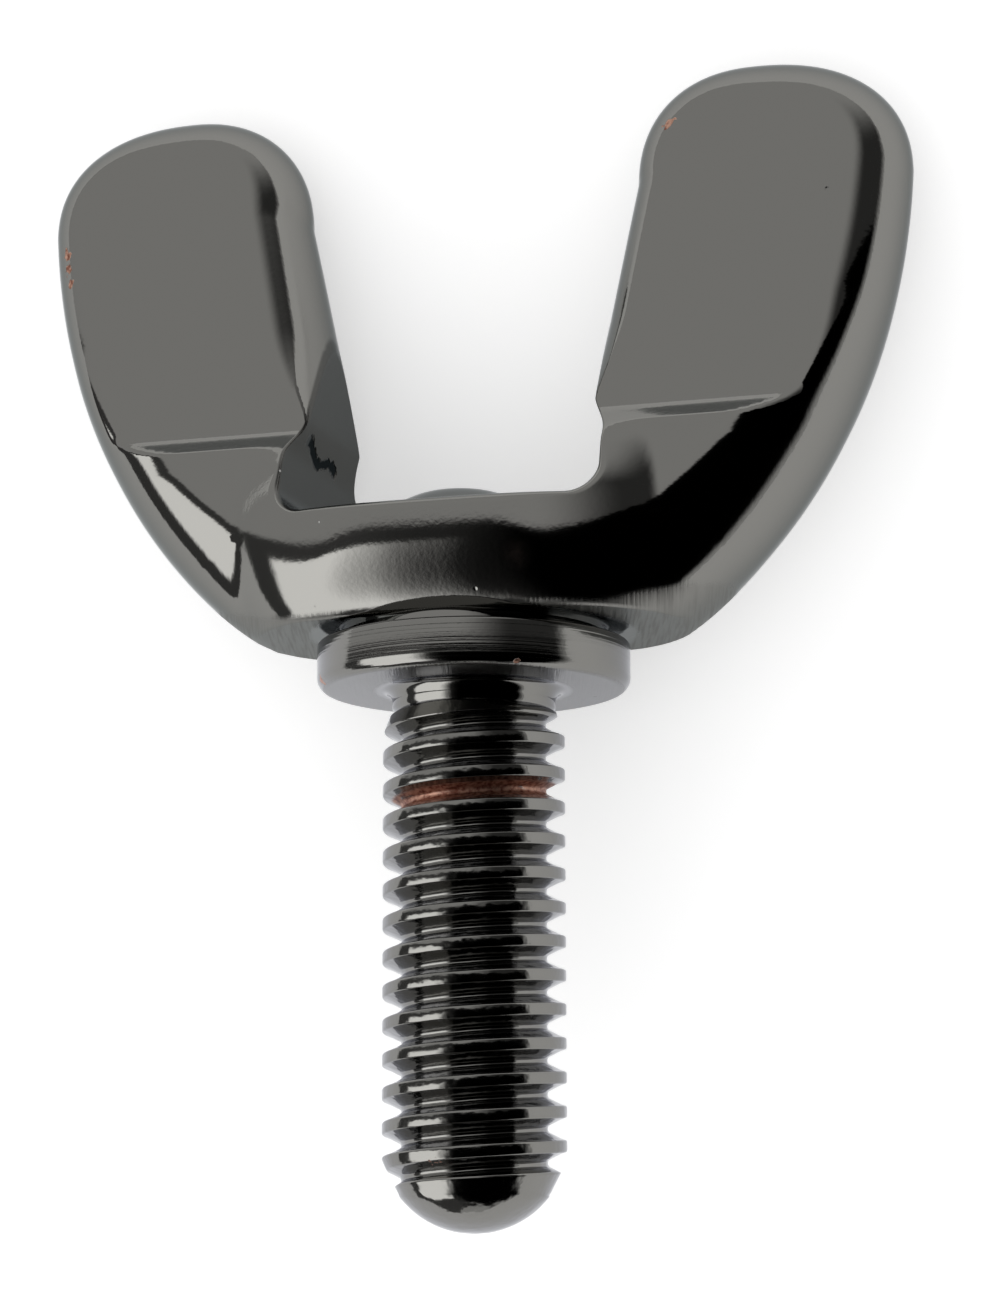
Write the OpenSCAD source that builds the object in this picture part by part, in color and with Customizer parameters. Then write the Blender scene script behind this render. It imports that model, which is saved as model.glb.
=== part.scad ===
// Wing screw: a forged two-eared head with a turned flange and a threaded shank, all one piece.
// Working position of the drawing: screw axis on Z, ears up, seating face of the flange at z = 0,
// front of the head towards -Y. The finished screw is laid down on its back at the end.

/* [Thread] */
// Outside diameter over the thread crests
major_d = 7.7; // [7.3:0.05:8.2]
// Diameter at the thread roots
root_d = 6.1; // [5.6:0.05:6.4]
// Advance of one turn of the thread
pitch = 1.41; // [1.2:0.01:1.8]
// Width of the flat on each crest
crest_w = 0.4; // [0.15:0.05:0.45]
// Width of the flat at each root
root_w = 0.22; // [0.1:0.02:0.4]
// Length of the shank from the seating face to the tip
shank_len = 22.7; // [19:0.1:30]
// Length of the plain neck under the flange
neck_len = 0.8; // [0.6:0.1:2]
// Diameter of the plain neck
neck_d = 6.9; // [6.5:0.05:7.2]
// Length of the rounded tip below the last thread
tip_len = 1.5; // [1.2:0.1:2.4]

/* [Flange] */
// Diameter of the flange
flange_d = 13.3; // [12:0.1:14.5]
// Thickness of the flange
flange_t = 2.0; // [1.6:0.1:2.4]
// Round on the lower edge of the flange
flange_round = 0.5; // [0.2:0.05:0.7]
// Height of the turned groove between the flange and the head
groove_h = 0.4; // [0.25:0.05:0.6]
// Depth of that groove
groove_depth = 0.9; // [0.4:0.1:1.2]

/* [Hub] */
// Height of the saddle between the ears
saddle_z = 7.0; // [6.6:0.1:8]
// Half depth of the hub at the screw axis
hub_depth = 6.8; // [6.4:0.1:7.4]
// Half width at which the barrel of the hub would run out
hub_reach = 9.5; // [9:0.1:11]
// Round along the lower edge of the hub
hub_round = 2.7; // [2.4:0.1:3.6]
// Height of the low mound on the saddle
mound_h = 1.75; // [0.8:0.05:1.8]
// Radius of the foot of the mound
mound_r = 3.6; // [3:0.1:4.2]

/* [Ears] */
// Reach of each ear from the screw axis
ear_reach = 19.3; // [18:0.1:21]
// Height of the ear tops above the seating face
ear_top = 26.3; // [25:0.1:29]
// Distance of the ear tops from the screw axis
ear_crown_x = 12.8; // [12:0.1:14]
// Distance between the ears at their narrowest
waist_gap = 12.6; // [11.6:0.1:13.2]
// Distance between the ears at the saddle
foot_gap = 13.9; // [13.3:0.1:14.6]
// Half thickness of the ear at the top of its pad
pad_top_depth = 2.5; // [2:0.1:3]
// Half thickness of the ear at the foot of its pad
pad_foot_depth = 3.5; // [3.1:0.1:3.8]
// Half thickness of the web just under the pad
web_depth = 4.35; // [4:0.05:4.8]
// Height at which the ledge under the pad starts
ledge_z = 10.2; // [9.6:0.1:10.6]
// Height of that ledge, up to the foot of the pad
ledge_h = 0.9; // [0.7:0.1:1.4]

/* [Hidden] */
$fn = 48;
major_r = major_d / 2;
root_r = root_d / 2;
neck_r = neck_d / 2;
tip_r = root_r + 0.05;
flange_r = flange_d / 2;
head_z = flange_t + groove_h;         // underside of the head
thread_top = -neck_len;
thread_bottom = -(shank_len - tip_len);
finish_rgb = [0.07, 0.07, 0.08];

// ---- helpers --------------------------------------------------------------------------------------
function mix(a, b, t) = a + (b - a) * t;
function clamp01(t) = min(1, max(0, t));
function ease(t) = let (c = clamp01(t)) c * c * (3 - 2 * c);
function bezier(p, t) =
    pow(1 - t, 3) * p[0] + 3 * pow(1 - t, 2) * t * p[1] + 3 * (1 - t) * t * t * p[2] + pow(t, 3) * p[3];
// The larger of two values with a soft change-over of width k
function soft_max(a, b, k) = let (h = clamp01(0.5 + (a - b) / (2 * k))) mix(b, a, h) + k * h * (1 - h);
// Points of an arc about c, from angle a0 to a1 in n steps
function arc(c, r, a0, a1, n) = [for (i = [0:n]) let (a = mix(a0, a1, i / n)) c + r * [cos(a), sin(a)]];

// ---- outline of one ear and half the hub, in the XZ plane -----------------------------------------
under_z = head_z - 1.2;               // forged underside, before it is faced
hub_top = saddle_z + 0.5;             // forged saddle, before it is trimmed
web_z = 9.2;                          // above this the sections are level cuts
crown_h = 5.0;                        // height of the rounded top of an ear
crown_z = ear_top - crown_h;
crown_power = 2.25;                   // 2 gives elliptical tops, more gives fuller corners
neck_in_x = 7.55;                     // inner edge of the ear at crown_z
flat_x = 2.4;                         // half width of the middle of the hub, where sections are upright
pad_foot_z = ledge_z + ledge_h;

outer_curve = [[6.0, under_z], [9.95, under_z], [ear_reach - 0.8, 8.5], [ear_reach, crown_z]];
inner_curve = [[flat_x, hub_top], [5.2, hub_top + 0.4], [5.6, 12.4], [neck_in_x, crown_z]];

// Parameter of a curve at height z, by halving
function find_t(curve, z, lo = 0, hi = 1, n = 18) = n == 0 ? (lo + hi) / 2 :
    let (mid = (lo + hi) / 2) bezier(curve, mid)[1] < z ?
        find_t(curve, z, mid, hi, n - 1) : find_t(curve, z, lo, mid, n - 1);
t_out_web = find_t(outer_curve, web_z);
t_in_web = find_t(inner_curve, web_z);

function crown_half(z, reach) =
    reach * pow(max(0, 1 - pow((z - crown_z) / crown_h, crown_power)), 1 / crown_power);
function inner_at(z) = z > crown_z ? [ear_crown_x - crown_half(z, ear_crown_x - neck_in_x), z] :
    bezier(inner_curve, find_t(inner_curve, z));
function outer_at(z) = z > crown_z ? [ear_crown_x + crown_half(z, ear_reach - ear_crown_x), z] :
    bezier(outer_curve, find_t(outer_curve, z));

// ---- stations: each is [inner point, outer point] -------------------------------------------------
hub_steps = 4;
turn_steps = 14;
ear_steps = 20;
crown_steps = 11;
turn_start = 0.28;                    // share of the turn that still ends on the flat underside
turn_bend = 0.9;                      // below 1 the sections fan out sooner

function turn_outer(k) = k < turn_start ? [mix(flat_x, outer_curve[0][0], k / turn_start), under_z] :
    bezier(outer_curve, t_out_web * pow((k - turn_start) / (1 - turn_start), turn_bend));
function turn_inner(k) = bezier(inner_curve, t_in_web * k);

hub_stations = [for (i = [0:hub_steps - 1]) let (x = flat_x * i / hub_steps) [[x, hub_top], [x, under_z]]];
turn_stations = [for (i = [0:turn_steps - 1]) let (k = i / turn_steps) [turn_inner(k), turn_outer(k)]];
ear_levels = concat(
    [web_z, mix(web_z, ledge_z, 0.5), ledge_z, mix(ledge_z, pad_foot_z, 0.5)],
    [for (i = [0:ear_steps]) mix(pad_foot_z, crown_z, i / ear_steps)],
    [for (i = [1:crown_steps - 1]) crown_z + crown_h * sin(90 * i / crown_steps)]);
ear_stations = [for (z = ear_levels) [inner_at(z), outer_at(z)]];
half_stations = concat(hub_stations, turn_stations, ear_stations);

// ---- half depth of the forged head at a point -----------------------------------------------------
hub_power = 3;                        // 2 gives an elliptical barrel, more gives a fuller one
hub_top_share = 0.6;                  // how far the barrel fades between the saddle and the ledge
web_fall = 0.6;                       // how much deeper the web is at the hub than at the ledge
web_fall_h = 5;                       // height below the ledge over which it deepens
pad_skin = 0.15;                      // what the press takes off the upper half of an ear
pad_fade_h = 8;                       // height over which the web runs out into that skin
blend = 1.3;                          // softness of the change from hub to web
// Plane of the pressed pad, as half depth at height z
function pad_half(z) = mix(pad_foot_depth, pad_top_depth, (z - pad_foot_z) / (ear_top - pad_foot_z));
function web_half(z) = min(
    mix(web_depth, web_depth + web_fall, clamp01((ledge_z - z) / web_fall_h)),
    pad_half(z) + mix(web_depth - pad_foot_depth, pad_skin, ease((z - ledge_z) / pad_fade_h)));
function hub_half(p) = hub_depth * pow(max(0, 1 - pow(p[0] / hub_reach, hub_power)), 1 / hub_power)
    * mix(1, hub_top_share, ease((p[1] - saddle_z) / (ledge_z - saddle_z)));
function half_depth(p) = soft_max(hub_half(p), web_half(p[1]), blend);

// Share of the half depth left at distance d from an edge with a round of width r
function edge_share(d, r, n) = d >= r ? 1 : pow(max(0, 1 - pow(1 - d / r, n)), 1 / n);
function crown_gap(p) = let (
    reach = p[0] > ear_crown_x ? ear_reach - ear_crown_x : ear_crown_x - neck_in_x,
    q = pow(pow(abs(p[0] - ear_crown_x) / reach, crown_power)
        + pow((p[1] - crown_z) / crown_h, crown_power), 1 / crown_power),
    d = norm([p[0] - ear_crown_x, p[1] - crown_z]))
    d < 0.01 ? crown_h : d * (1 / max(0.001, q) - 1);

saddle_round = 0.8;                   // width of the round along each edge
inner_round = 1.6;
outer_round = 2.1;
web_round = 5.5;
hub_edge_power = 3;                   // 2 gives an elliptical round, more gives a tighter one
web_round_top = 15;                   // the wide round of the web narrows up to this height
shoulder_lean = 0.86;                 // share of the slant length that lies square to the edge
shoulder_top = 14;                    // and the height up to which the shoulder slants, fading over
shoulder_fade = 5;                    // this height
saddle_fade = 1.2;                    // rise of the inner edge over which its round widens
rim_fade = 6;                         // width over which the inner round turns into the outer one
hub_end_x = 6.5;                      // the edge of the hub turns into that of the web from here,
hub_end_w = 7;                        // over this width
function past_hub(x) = ease((x - hub_end_x) / hub_end_w);
function outer_width(p) = p[1] > web_z
    ? mix(outer_round, web_round, ease((web_round_top - p[1]) / (web_round_top - web_z)))
    : mix(hub_round, web_round, past_hub(p[0]));
function crown_share(p) =
    edge_share(crown_gap(p), mix(inner_round, outer_round, ease(0.5 + (p[0] - ear_crown_x) / rim_fade)), 2);
function side_share(st, u, p) = let (
    w = norm(st[1] - st[0]),
    up_ear = ease((st[0][1] - hub_top) / saddle_fade),
    d_in = max(mix(hub_top - p[1], w * u, up_ear), 0.5 * w * u),
    d_out = w * (1 - u) * mix(1, shoulder_lean, ease((shoulder_top - p[1]) / shoulder_fade)),
    n_out = mix(hub_edge_power, 2, past_hub(st[1][0])))
    min(edge_share(d_in, mix(saddle_round, inner_round, up_ear), 2),
        edge_share(d_out, outer_width(st[1]), n_out));
// Half depth that the pressed pad and its ledge leave at most
function pressed_half(z) = max(pad_half(z), mix(web_depth, pad_foot_depth, (z - ledge_z) / ledge_h));
// Half depth of the skin at a share u of the way along a station
function skin_y(st, u) = let (p = mix(st[0], st[1], u))
    min(pressed_half(p[1]), half_depth(p) * (p[1] > crown_z ? crown_share(p) : side_share(st, u, p)));

across = 15;
shares = [for (j = [1:across - 1]) (1 - cos(180 * j / across)) / 2];
// One closed ring: inner edge, front, outer edge, back
function ring(st, side) = let (
    line = [for (u = shares) let (p = mix(st[0], st[1], u)) [side * p[0], -skin_y(st, u), p[1]]])
    concat(
        [[side * st[0][0], 0, st[0][1]]],
        line,
        [[side * st[1][0], 0, st[1][1]]],
        [for (j = [len(line) - 1:-1:0]) [line[j][0], -line[j][1], line[j][2]]]);

module forged_head() {
    n = len(half_stations);
    rings = concat(
        [for (i = [n - 1:-1:1]) ring(half_stations[i], -1)],
        [for (i = [0:n - 1]) ring(half_stations[i], 1)]);
    m = len(rings[0]);
    last = len(rings) - 1;
    tips = [[-ear_crown_x, 0, ear_top], [ear_crown_x, 0, ear_top]];
    points = concat([for (r = rings) each r], tips);
    a = (last + 1) * m;
    // The two halves split their cells along mirrored diagonals
    faces = concat(
        [for (i = [0:last - 1], j = [0:m - 1])
            let (k = (j + 1) % m, c = [i * m + j, (i + 1) * m + j, (i + 1) * m + k, i * m + k])
            each i < n - 1 ? [[c[0], c[2], c[3]], [c[0], c[1], c[2]]]
                : [[c[0], c[1], c[3]], [c[1], c[2], c[3]]]],
        [for (j = [0:m - 1]) let (k = (j + 1) % m) [j, k, a]],
        [for (j = [0:m - 1]) let (k = (j + 1) % m) [last * m + j, a + 1, last * m + k]]);
    polyhedron(points, faces, convexity = 8);
}

// ---- cuts and turned features ---------------------------------------------------------------------
// Trimmed gap between the ears: flat saddle, small corner rounds, and walls that lean in to the waist
slot_round = 1.3;
waist_z = 11.7;
slot_top = 17.5;
lean_start = 9.8;
module slot_outline() {
    foot = foot_gap / 2;
    waist = waist_gap / 2;
    wall = [for (i = [0:8]) let (t = i / 8) [mix(foot, waist, ease(t)), mix(lean_start, waist_z, t)]];
    side = concat(arc([foot - slot_round, saddle_z + slot_round], slot_round, -90, 0, 6), wall,
        [[waist, slot_top]]);
    polygon(concat(side, [for (i = [len(side) - 1:-1:0]) [-side[i][0], side[i][1]]]));
}
module slot_cut() {
    rotate([90, 0, 0]) linear_extrude(4 * hub_depth, center = true) slot_outline();
}
// Flat turned across the underside of the shoulders
face_r = 12;
face_h = 4;
module facing_cut() {
    translate([0, 0, head_z - face_h]) cylinder(h = face_h, r = face_r);
}
// Low flat-topped mound left on the saddle; its foot starts just inside the metal
mound_x = -0.9;
mound_flank = 1.9;
mound_steps = 8;
module mound() {
    translate([mound_x, 0, saddle_z]) rotate_extrude() polygon(concat(
        [[0, -1], [mound_r, -1]],
        [for (i = [0:mound_steps]) let (t = i / mound_steps)
            [mound_r - mound_flank * t, mound_h * ease(t) - 0.04 * (1 - t)]],
        [[0, mound_h]]));
}
// Profile turned about the screw axis: rounded tip, thread core, neck, flange and groove
// The neck runs into the flange in a fillet that ends just outside the thread crests, so that a
// washer that passes the thread lies flat on the seating face
seat_in_r = major_r + 0.1;
fillet_h = min(0.5, 0.7 * neck_len);
fillet = [for (a = [90:-15:0]) [seat_in_r - (seat_in_r - neck_r) * sin(a), fillet_h * (cos(a) - 1)]];
flange_chamfer = 0.2;
cap_r = (tip_r * tip_r + tip_len * tip_len) / (2 * tip_len);
function tip_arc() = arc([0, cap_r - shank_len], cap_r, -90, asin(tip_r / cap_r) - 90, 8);
module turned_body() {
    rotate_extrude() polygon(concat(
        tip_arc(),
        [[root_r, thread_bottom + 0.8], [root_r, thread_top - (neck_r - root_r)], [neck_r, thread_top]],
        fillet,
        arc([flange_r - flange_round, flange_round], flange_round, -90, 0, 6),
        [[flange_r, flange_t - flange_chamfer], [flange_r - flange_chamfer, flange_t],
         [flange_r - groove_depth, flange_t],
         [flange_r - groove_depth, head_z + 1], [0, head_z + 1]]));
}
// Envelope that cuts the crests to the outside diameter and fades the thread out at both ends
fade_low = 1.4;
fade_high = 1.0;
module thread_envelope() {
    low = thread_bottom + 0.1;
    high = thread_top - 0.1;
    rotate_extrude() polygon([
        [0, low], [tip_r + 0.05, low], [major_r, low + fade_low],
        [major_r, high - fade_high], [neck_r + 0.05, high], [0, high]]);
}
// Helical ridge with a V section, its foot sunk into the core
ridge_steps = 24;
module thread_ridge() {
    sink = 0.1;
    over = 0.1;
    slope = (pitch - crest_w - root_w) / 2 / (major_r - root_r);
    foot_half = (pitch - root_w) / 2 + slope * sink;
    crest_half = crest_w / 2 - slope * over;
    section = [[root_r - sink, -foot_half], [major_r + over, -crest_half],
               [major_r + over, crest_half], [root_r - sink, foot_half]];
    first = thread_top - 0.05;
    turns = (first - thread_bottom) / pitch + 0.5;
    steps = floor(turns * ridge_steps);
    points = [for (i = [0:steps]) let (a = 360 * i / ridge_steps, z = first - pitch * i / ridge_steps)
        for (p = section) [p[0] * cos(a), -p[0] * sin(a), z + p[1]]];
    faces = concat(
        [for (i = [0:steps - 1], j = [0:3])
            let (k = (j + 1) % 4, c = [i * 4 + j, (i + 1) * 4 + j, (i + 1) * 4 + k, i * 4 + k])
            each [[c[0], c[2], c[3]], [c[0], c[1], c[2]]]],
        [[0, 1, 2, 3]], [[steps * 4 + 3, steps * 4 + 2, steps * 4 + 1, steps * 4]]);
    polyhedron(points, faces, convexity = 20);
}
module wing_screw() {
    color(finish_rgb) {
        difference() {
            forged_head();
            slot_cut();
            facing_cut();
        }
        mound();
        turned_body();
        intersection() {
            thread_ridge();
            thread_envelope();
        }
    }
}

// ---- laid down as it comes to rest: on the back of the hub and the backs of both ears ---------------
// Points of the back as [height along the axis, distance behind it]
hub_station = hub_stations[0];
hub_line = [for (u = shares) [mix(hub_station[0], hub_station[1], u)[1], skin_y(hub_station, u)]];
// Where the trimmed saddle cuts the polyline of the hub's back
hub_back = concat(
    [for (h = hub_line) if (h[0] < saddle_z) h],
    [for (i = [0:len(hub_line) - 2]) if (hub_line[i][0] > saddle_z && hub_line[i + 1][0] <= saddle_z)
        mix(hub_line[i], hub_line[i + 1],
            (hub_line[i][0] - saddle_z) / (hub_line[i][0] - hub_line[i + 1][0]))]);
ear_back = [for (st = ear_stations, u = shares)
    if (st[0][1] > pad_foot_z) [mix(st[0], st[1], u)[1], skin_y(st, u)]];
// Lean of the line that touches both backs
rest_tilt = max([for (h = hub_back) min([for (e = ear_back) atan2(h[1] - e[1], e[0] - h[0])])]);
lift = max([for (h = hub_back) h[1] * cos(rest_tilt) + h[0] * sin(rest_tilt)]);
// Ends of the screw along the floor, to centre it
far_end = max([for (e = ear_back) e[1] * sin(rest_tilt) + e[0] * cos(rest_tilt)]);
tip_end = min([for (p = tip_arc()) p[1] * cos(rest_tilt) - p[0] * sin(rest_tilt)]);
module laid_down() {
    translate([0, -(far_end + tip_end) / 2, lift]) rotate([-90 - rest_tilt, 0, 0]) children();
}

laid_down() wing_screw();
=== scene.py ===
# %% [markdown]
# # A wing screw, lying on a white table
# The screw is one forged and turned piece: two flat-faced ears that curve up out of a hub, a
# round flange under the hub, and a threaded shank. The solid model gives its place and size;
# this lesson builds the surface that the eye sees, a thick gloss plate with small worn spots.
# It could be shown with the solid's own mesh, but a mirror finish shows each of its facets, so
# smooth skins are made here from the same curves and sizes.

# %% Load the solid model as the fixed frame
import math
import bmesh
import bpy
from mathutils import Matrix, Vector


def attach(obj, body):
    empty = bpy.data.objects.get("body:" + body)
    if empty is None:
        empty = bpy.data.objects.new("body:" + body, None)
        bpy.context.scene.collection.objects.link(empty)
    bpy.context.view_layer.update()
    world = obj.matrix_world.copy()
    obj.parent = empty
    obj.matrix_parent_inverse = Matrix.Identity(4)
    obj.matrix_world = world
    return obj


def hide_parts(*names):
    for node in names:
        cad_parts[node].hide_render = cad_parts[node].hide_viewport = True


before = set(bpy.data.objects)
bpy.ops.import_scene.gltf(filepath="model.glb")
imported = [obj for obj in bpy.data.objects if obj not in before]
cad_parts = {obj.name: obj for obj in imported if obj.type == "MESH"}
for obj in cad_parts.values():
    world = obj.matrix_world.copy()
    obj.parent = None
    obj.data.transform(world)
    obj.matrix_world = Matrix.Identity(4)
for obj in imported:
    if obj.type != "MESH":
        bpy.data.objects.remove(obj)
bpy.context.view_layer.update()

# %% [markdown]
# ## Two frames
# The screw is drawn as it would be used: its axis on Z, ears up, the seating face of the flange
# at height 0, the front of the head towards -Y, in millimetres. A screw can't stand unheld, so it
# lies on the back of its hub and of both ears. One matrix takes the drawing to its resting place.

# %% From the drawing to the table
MILLIMETRE = 0.001  # the drawing is in millimetres, Blender's frame in metres
REST_TILT = 12.768  # lean of the line that touches the backs of the hub and the ears
REST_LIFT = 8.05905  # height of the drawing's origin above the table
REST_MIDDLE = 1.7501  # middle of the screw's length along the table
SHANK_LENGTH = 22.7

LAY_DOWN = (Matrix.Scale(MILLIMETRE, 4)
            @ Matrix.Translation((0, -REST_MIDDLE, REST_LIFT))
            @ Matrix.Rotation(math.radians(-90 - REST_TILT), 4, "X"))


def turned(direction):
    """A direction of the drawing, as it points once the screw lies down."""
    return (LAY_DOWN.to_3x3() @ Vector(direction)).normalized()


print("the shank's tip ends at",
      [round(1000 * c, 2) for c in LAY_DOWN @ Vector((0, 0, -SHANK_LENGTH))])

# %% [markdown]
# ## The camera
# The camera looks at the screw from a little to the right of its front and a little below, a
# hand's breadth away. Laid down with the screw, it looks down on the table. An empty target and a
# constraint could aim it; a matrix built from three directions keeps the small roll exact.

# %% Place the camera
VIEW_AZIMUTH, VIEW_ELEVATION, VIEW_ROLL = 16.76, -10.68, -0.15
VIEW_DISTANCE = 150.0
VIEW_CENTRE = Vector((1.16, 0.0, 1.876))
LENS = 98.49

azimuth, elevation = math.radians(VIEW_AZIMUTH), math.radians(VIEW_ELEVATION)
to_camera = Vector((math.sin(azimuth) * math.cos(elevation),
                    -math.cos(azimuth) * math.cos(elevation), math.sin(elevation)))
level_right = Vector((math.cos(azimuth), math.sin(azimuth), 0))
level_up = level_right.cross(-to_camera)
roll = math.radians(VIEW_ROLL)
view_right = math.cos(roll) * level_right + math.sin(roll) * level_up
view_up = math.cos(roll) * level_up - math.sin(roll) * level_right

camera = bpy.data.objects.new("camera", bpy.data.cameras.new("camera"))
bpy.context.scene.collection.objects.link(camera)
axes = Matrix([turned(view_right), turned(view_up), turned(to_camera)]).transposed()
camera.matrix_world = (Matrix.Translation(LAY_DOWN @ (VIEW_CENTRE + VIEW_DISTANCE * to_camera))
                       @ axes.to_4x4())
camera.data.lens = LENS
camera.data.clip_start, camera.data.clip_end = 0.01, 20
bpy.context.scene.camera = camera
print("camera at", [round(c, 4) for c in camera.location])

# %% [markdown]
# ## Sizes
# These are the sizes of the real screw, in millimetres. They are the solid's, apart from some
# rounds: a mirror finish shows the width of a round before anything else, so the rims, the hub
# and the webs run out as softly here as the eye sees them.

# %% The screw's sizes
# The shank and the flange
MAJOR_R, ROOT_R, PITCH = 3.85, 3.05, 1.41
CREST_WIDTH, ROOT_WIDTH = 0.40, 0.22
NECK_LENGTH, NECK_R, TIP_LENGTH, TIP_R = 0.8, 3.45, 1.5, 3.1
FLANGE_R, FLANGE_T, FLANGE_ROUND = 6.65, 2.0, 0.5
GROOVE_H, GROOVE_DEPTH = 0.4, 0.9

# The outline of the head: the hub, the ears and their rounded tops
HEAD_Z = FLANGE_T + GROOVE_H  # underside of the head
UNDER_Z = HEAD_Z - 1.2  # underside of the forging, before it was faced
SADDLE_Z = 7.0
HUB_TOP = SADDLE_Z + 0.5  # top of the forging's hub, before the gap was trimmed
FLAT_X = 2.4  # half width of the level part of the hub
WEB_Z = 9.2  # the sections lie level from here up
EAR_REACH, EAR_TOP, NECK_IN_X = 19.3, 26.3, 7.55
CROWN_X, CROWN_H, CROWN_POWER = 12.8, 5.0, 2.25
CROWN_Z = EAR_TOP - CROWN_H

# Half thicknesses, from the hub's barrel to the pressed pads
HUB_DEPTH, HUB_REACH = 6.8, 9.5
HUB_POWER, BLEND = 3.0, 2.0  # fullness of the barrel, softness of its change to the web
HUB_TOP_SHARE, HUB_FADE = 0.6, 4.4  # it thins to this share, over this height
WEB, WEB_FALL, WEB_FALL_H, WEB_SOFT = 4.35, 0.6, 5.0, 0.1
PAD_TOP, PAD_FOOT = 2.5, 3.5
LEDGE_Z, LEDGE_H = 10.2, 0.9
PAD_FOOT_Z = LEDGE_Z + LEDGE_H
LEDGE_FILLET, PAD_ARRIS = 0.3, 0.04  # softness at the foot and at the border of a pad
PAD_SKIN, PAD_FADE = 0.1, 5.5  # how far the rim stands proud of the pad, after what height

# Rounds along the edges
INNER_ROUND, OUTER_ROUND, WEB_ROUND, HUB_ROUND = 2.3, 2.5, 3.8, 4.6
HUB_END_X, HUB_END_W = 6.5, 7.0  # the hub's edge turns into the web's
WEB_ROUND_TOP = 15.0  # the wide round of the web narrows up to this height
LOW_EDGE, LOW_EDGE_Z, LOW_EDGE_H = 0.86, 14.0, 5.0  # outer rounds reach further in low down
CIRCLE, FULLER = 2.0, 3.0  # powers of a plain round and of the hub's fuller one

# The trimmed gap, the faced underside and the mound on the saddle
FOOT_HALF, WAIST_HALF, SLOT_ROUND = 6.95, 6.3, 1.3
LEAN_START, WAIST_Z, GAP_TOP = 9.8, 11.7, 17.5
FACE_R = 12.0  # how far out the underside was faced
MOUND_H, MOUND_R, MOUND_X, MOUND_FLANK = 1.6, 5.3, -0.6, 4.1
print("head", 2 * EAR_REACH, "mm across the ears, shank", SHANK_LENGTH, "mm long")

# %% [markdown]
# ## The curves of the head
# A forged shape like this is easiest to see as a row of sections. Across the hub the sections
# stand upright; round the shoulder they fan out; up the ear they lie level. Each runs from a
# point on the inner curve to a point on the outer one. A sculpt could give the same shape, but
# curves keep the flats true and let one number be changed.

# %% Curves that carry the sections
def mix(a, b, t):
    """The value or point a share t of the way from a to b."""
    return a + (b - a) * t


def ease(t):
    """A smooth step from 0 to 1."""
    t = min(1.0, max(0.0, t))
    return t * t * (3 - 2 * t)


def bezier(points, t):
    """The point at t on a cubic curve with four control points, each an (x, z) pair."""
    weights = ((1 - t) ** 3, 3 * (1 - t) ** 2 * t, 3 * (1 - t) * t * t, t ** 3)
    return Vector((sum(w * p[0] for w, p in zip(weights, points)),
                   sum(w * p[1] for w, p in zip(weights, points))))


def soft_max(a, b, width):
    """The larger of two values, with a soft change-over."""
    share = min(1.0, max(0.0, 0.5 + (a - b) / (2 * width)))
    return mix(b, a, share) + width * share * (1 - share)


def soft_min(a, b, width):
    """The smaller of two values, with a soft change-over."""
    return -soft_max(-a, -b, width)


OUTER_CURVE = [(6.0, UNDER_Z), (9.95, UNDER_Z), (EAR_REACH - 0.8, 8.5), (EAR_REACH, CROWN_Z)]
INNER_CURVE = [(FLAT_X, HUB_TOP), (5.2, HUB_TOP + 0.4), (5.6, 12.4), (NECK_IN_X, CROWN_Z)]


def at_height(curve, z):
    """The parameter at which a rising curve reaches height z, by halving."""
    low, high = 0.0, 1.0
    for _ in range(30):
        middle = (low + high) / 2
        low, high = (middle, high) if bezier(curve, middle)[1] < z else (low, middle)
    return (low + high) / 2


def crown_half(z, reach):
    """Half width of the rounded ear top at height z."""
    share = max(0.0, 1 - ((z - CROWN_Z) / CROWN_H) ** CROWN_POWER)
    return reach * share ** (1 / CROWN_POWER)


def inner_at(z):
    """The inner edge of the ear at height z."""
    if z > CROWN_Z:
        return Vector((CROWN_X - crown_half(z, CROWN_X - NECK_IN_X), z))
    return bezier(INNER_CURVE, at_height(INNER_CURVE, z))


def outer_at(z):
    """The outer edge of the ear at height z."""
    if z > CROWN_Z:
        return Vector((CROWN_X + crown_half(z, EAR_REACH - CROWN_X), z))
    return bezier(OUTER_CURVE, at_height(OUTER_CURVE, z))


print("ear is", round(outer_at(16)[0] - inner_at(16)[0], 2), "mm wide at height 16")

# %% [markdown]
# ## How thick the head is at each place
# The hub is a barrel, the webs are flat, and the finger pads are pressed in by a small slope, the
# ledge. Along every edge the thickness runs out in a round.

# %% Half thickness of the head
def pad_half(z):
    """Depth of the finger pad's plane, continued below its foot."""
    return mix(PAD_FOOT, PAD_TOP, (z - PAD_FOOT_Z) / (EAR_TOP - PAD_FOOT_Z))


def pressed_half(z):
    """Half thickness that the pressed pad and its ledge leave at most."""
    slope = mix(WEB, PAD_FOOT, (z - LEDGE_Z) / LEDGE_H)
    return soft_max(pad_half(z), slope, LEDGE_FILLET)


def web_half(z):
    """Half thickness of the forged ear before its pads are pressed."""
    low = mix(WEB, WEB + WEB_FALL, min(1.0, max(0.0, (LEDGE_Z - z) / WEB_FALL_H)))
    high = pad_half(z) + mix(WEB - PAD_FOOT, PAD_SKIN, ease((z - LEDGE_Z) / PAD_FADE))
    return soft_min(low, high, WEB_SOFT)


def hub_half(x, z):
    """Half thickness of the barrel of the hub, which fades out up the ears."""
    share = max(0.0, 1 - (x / HUB_REACH) ** HUB_POWER) ** (1 / HUB_POWER)
    thinned = mix(1, HUB_TOP_SHARE, ease((z - SADDLE_Z) / HUB_FADE))
    return HUB_DEPTH * share * (thinned * (1 - ease((z - WEB_Z) / HUB_FADE)))


def edge_share(distance, width, power):
    """Share of the thickness left at a distance from an edge with a round of that width."""
    if distance >= width:
        return 1.0
    return max(0.0, 1 - (1 - distance / width) ** power) ** (1 / power)


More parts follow.
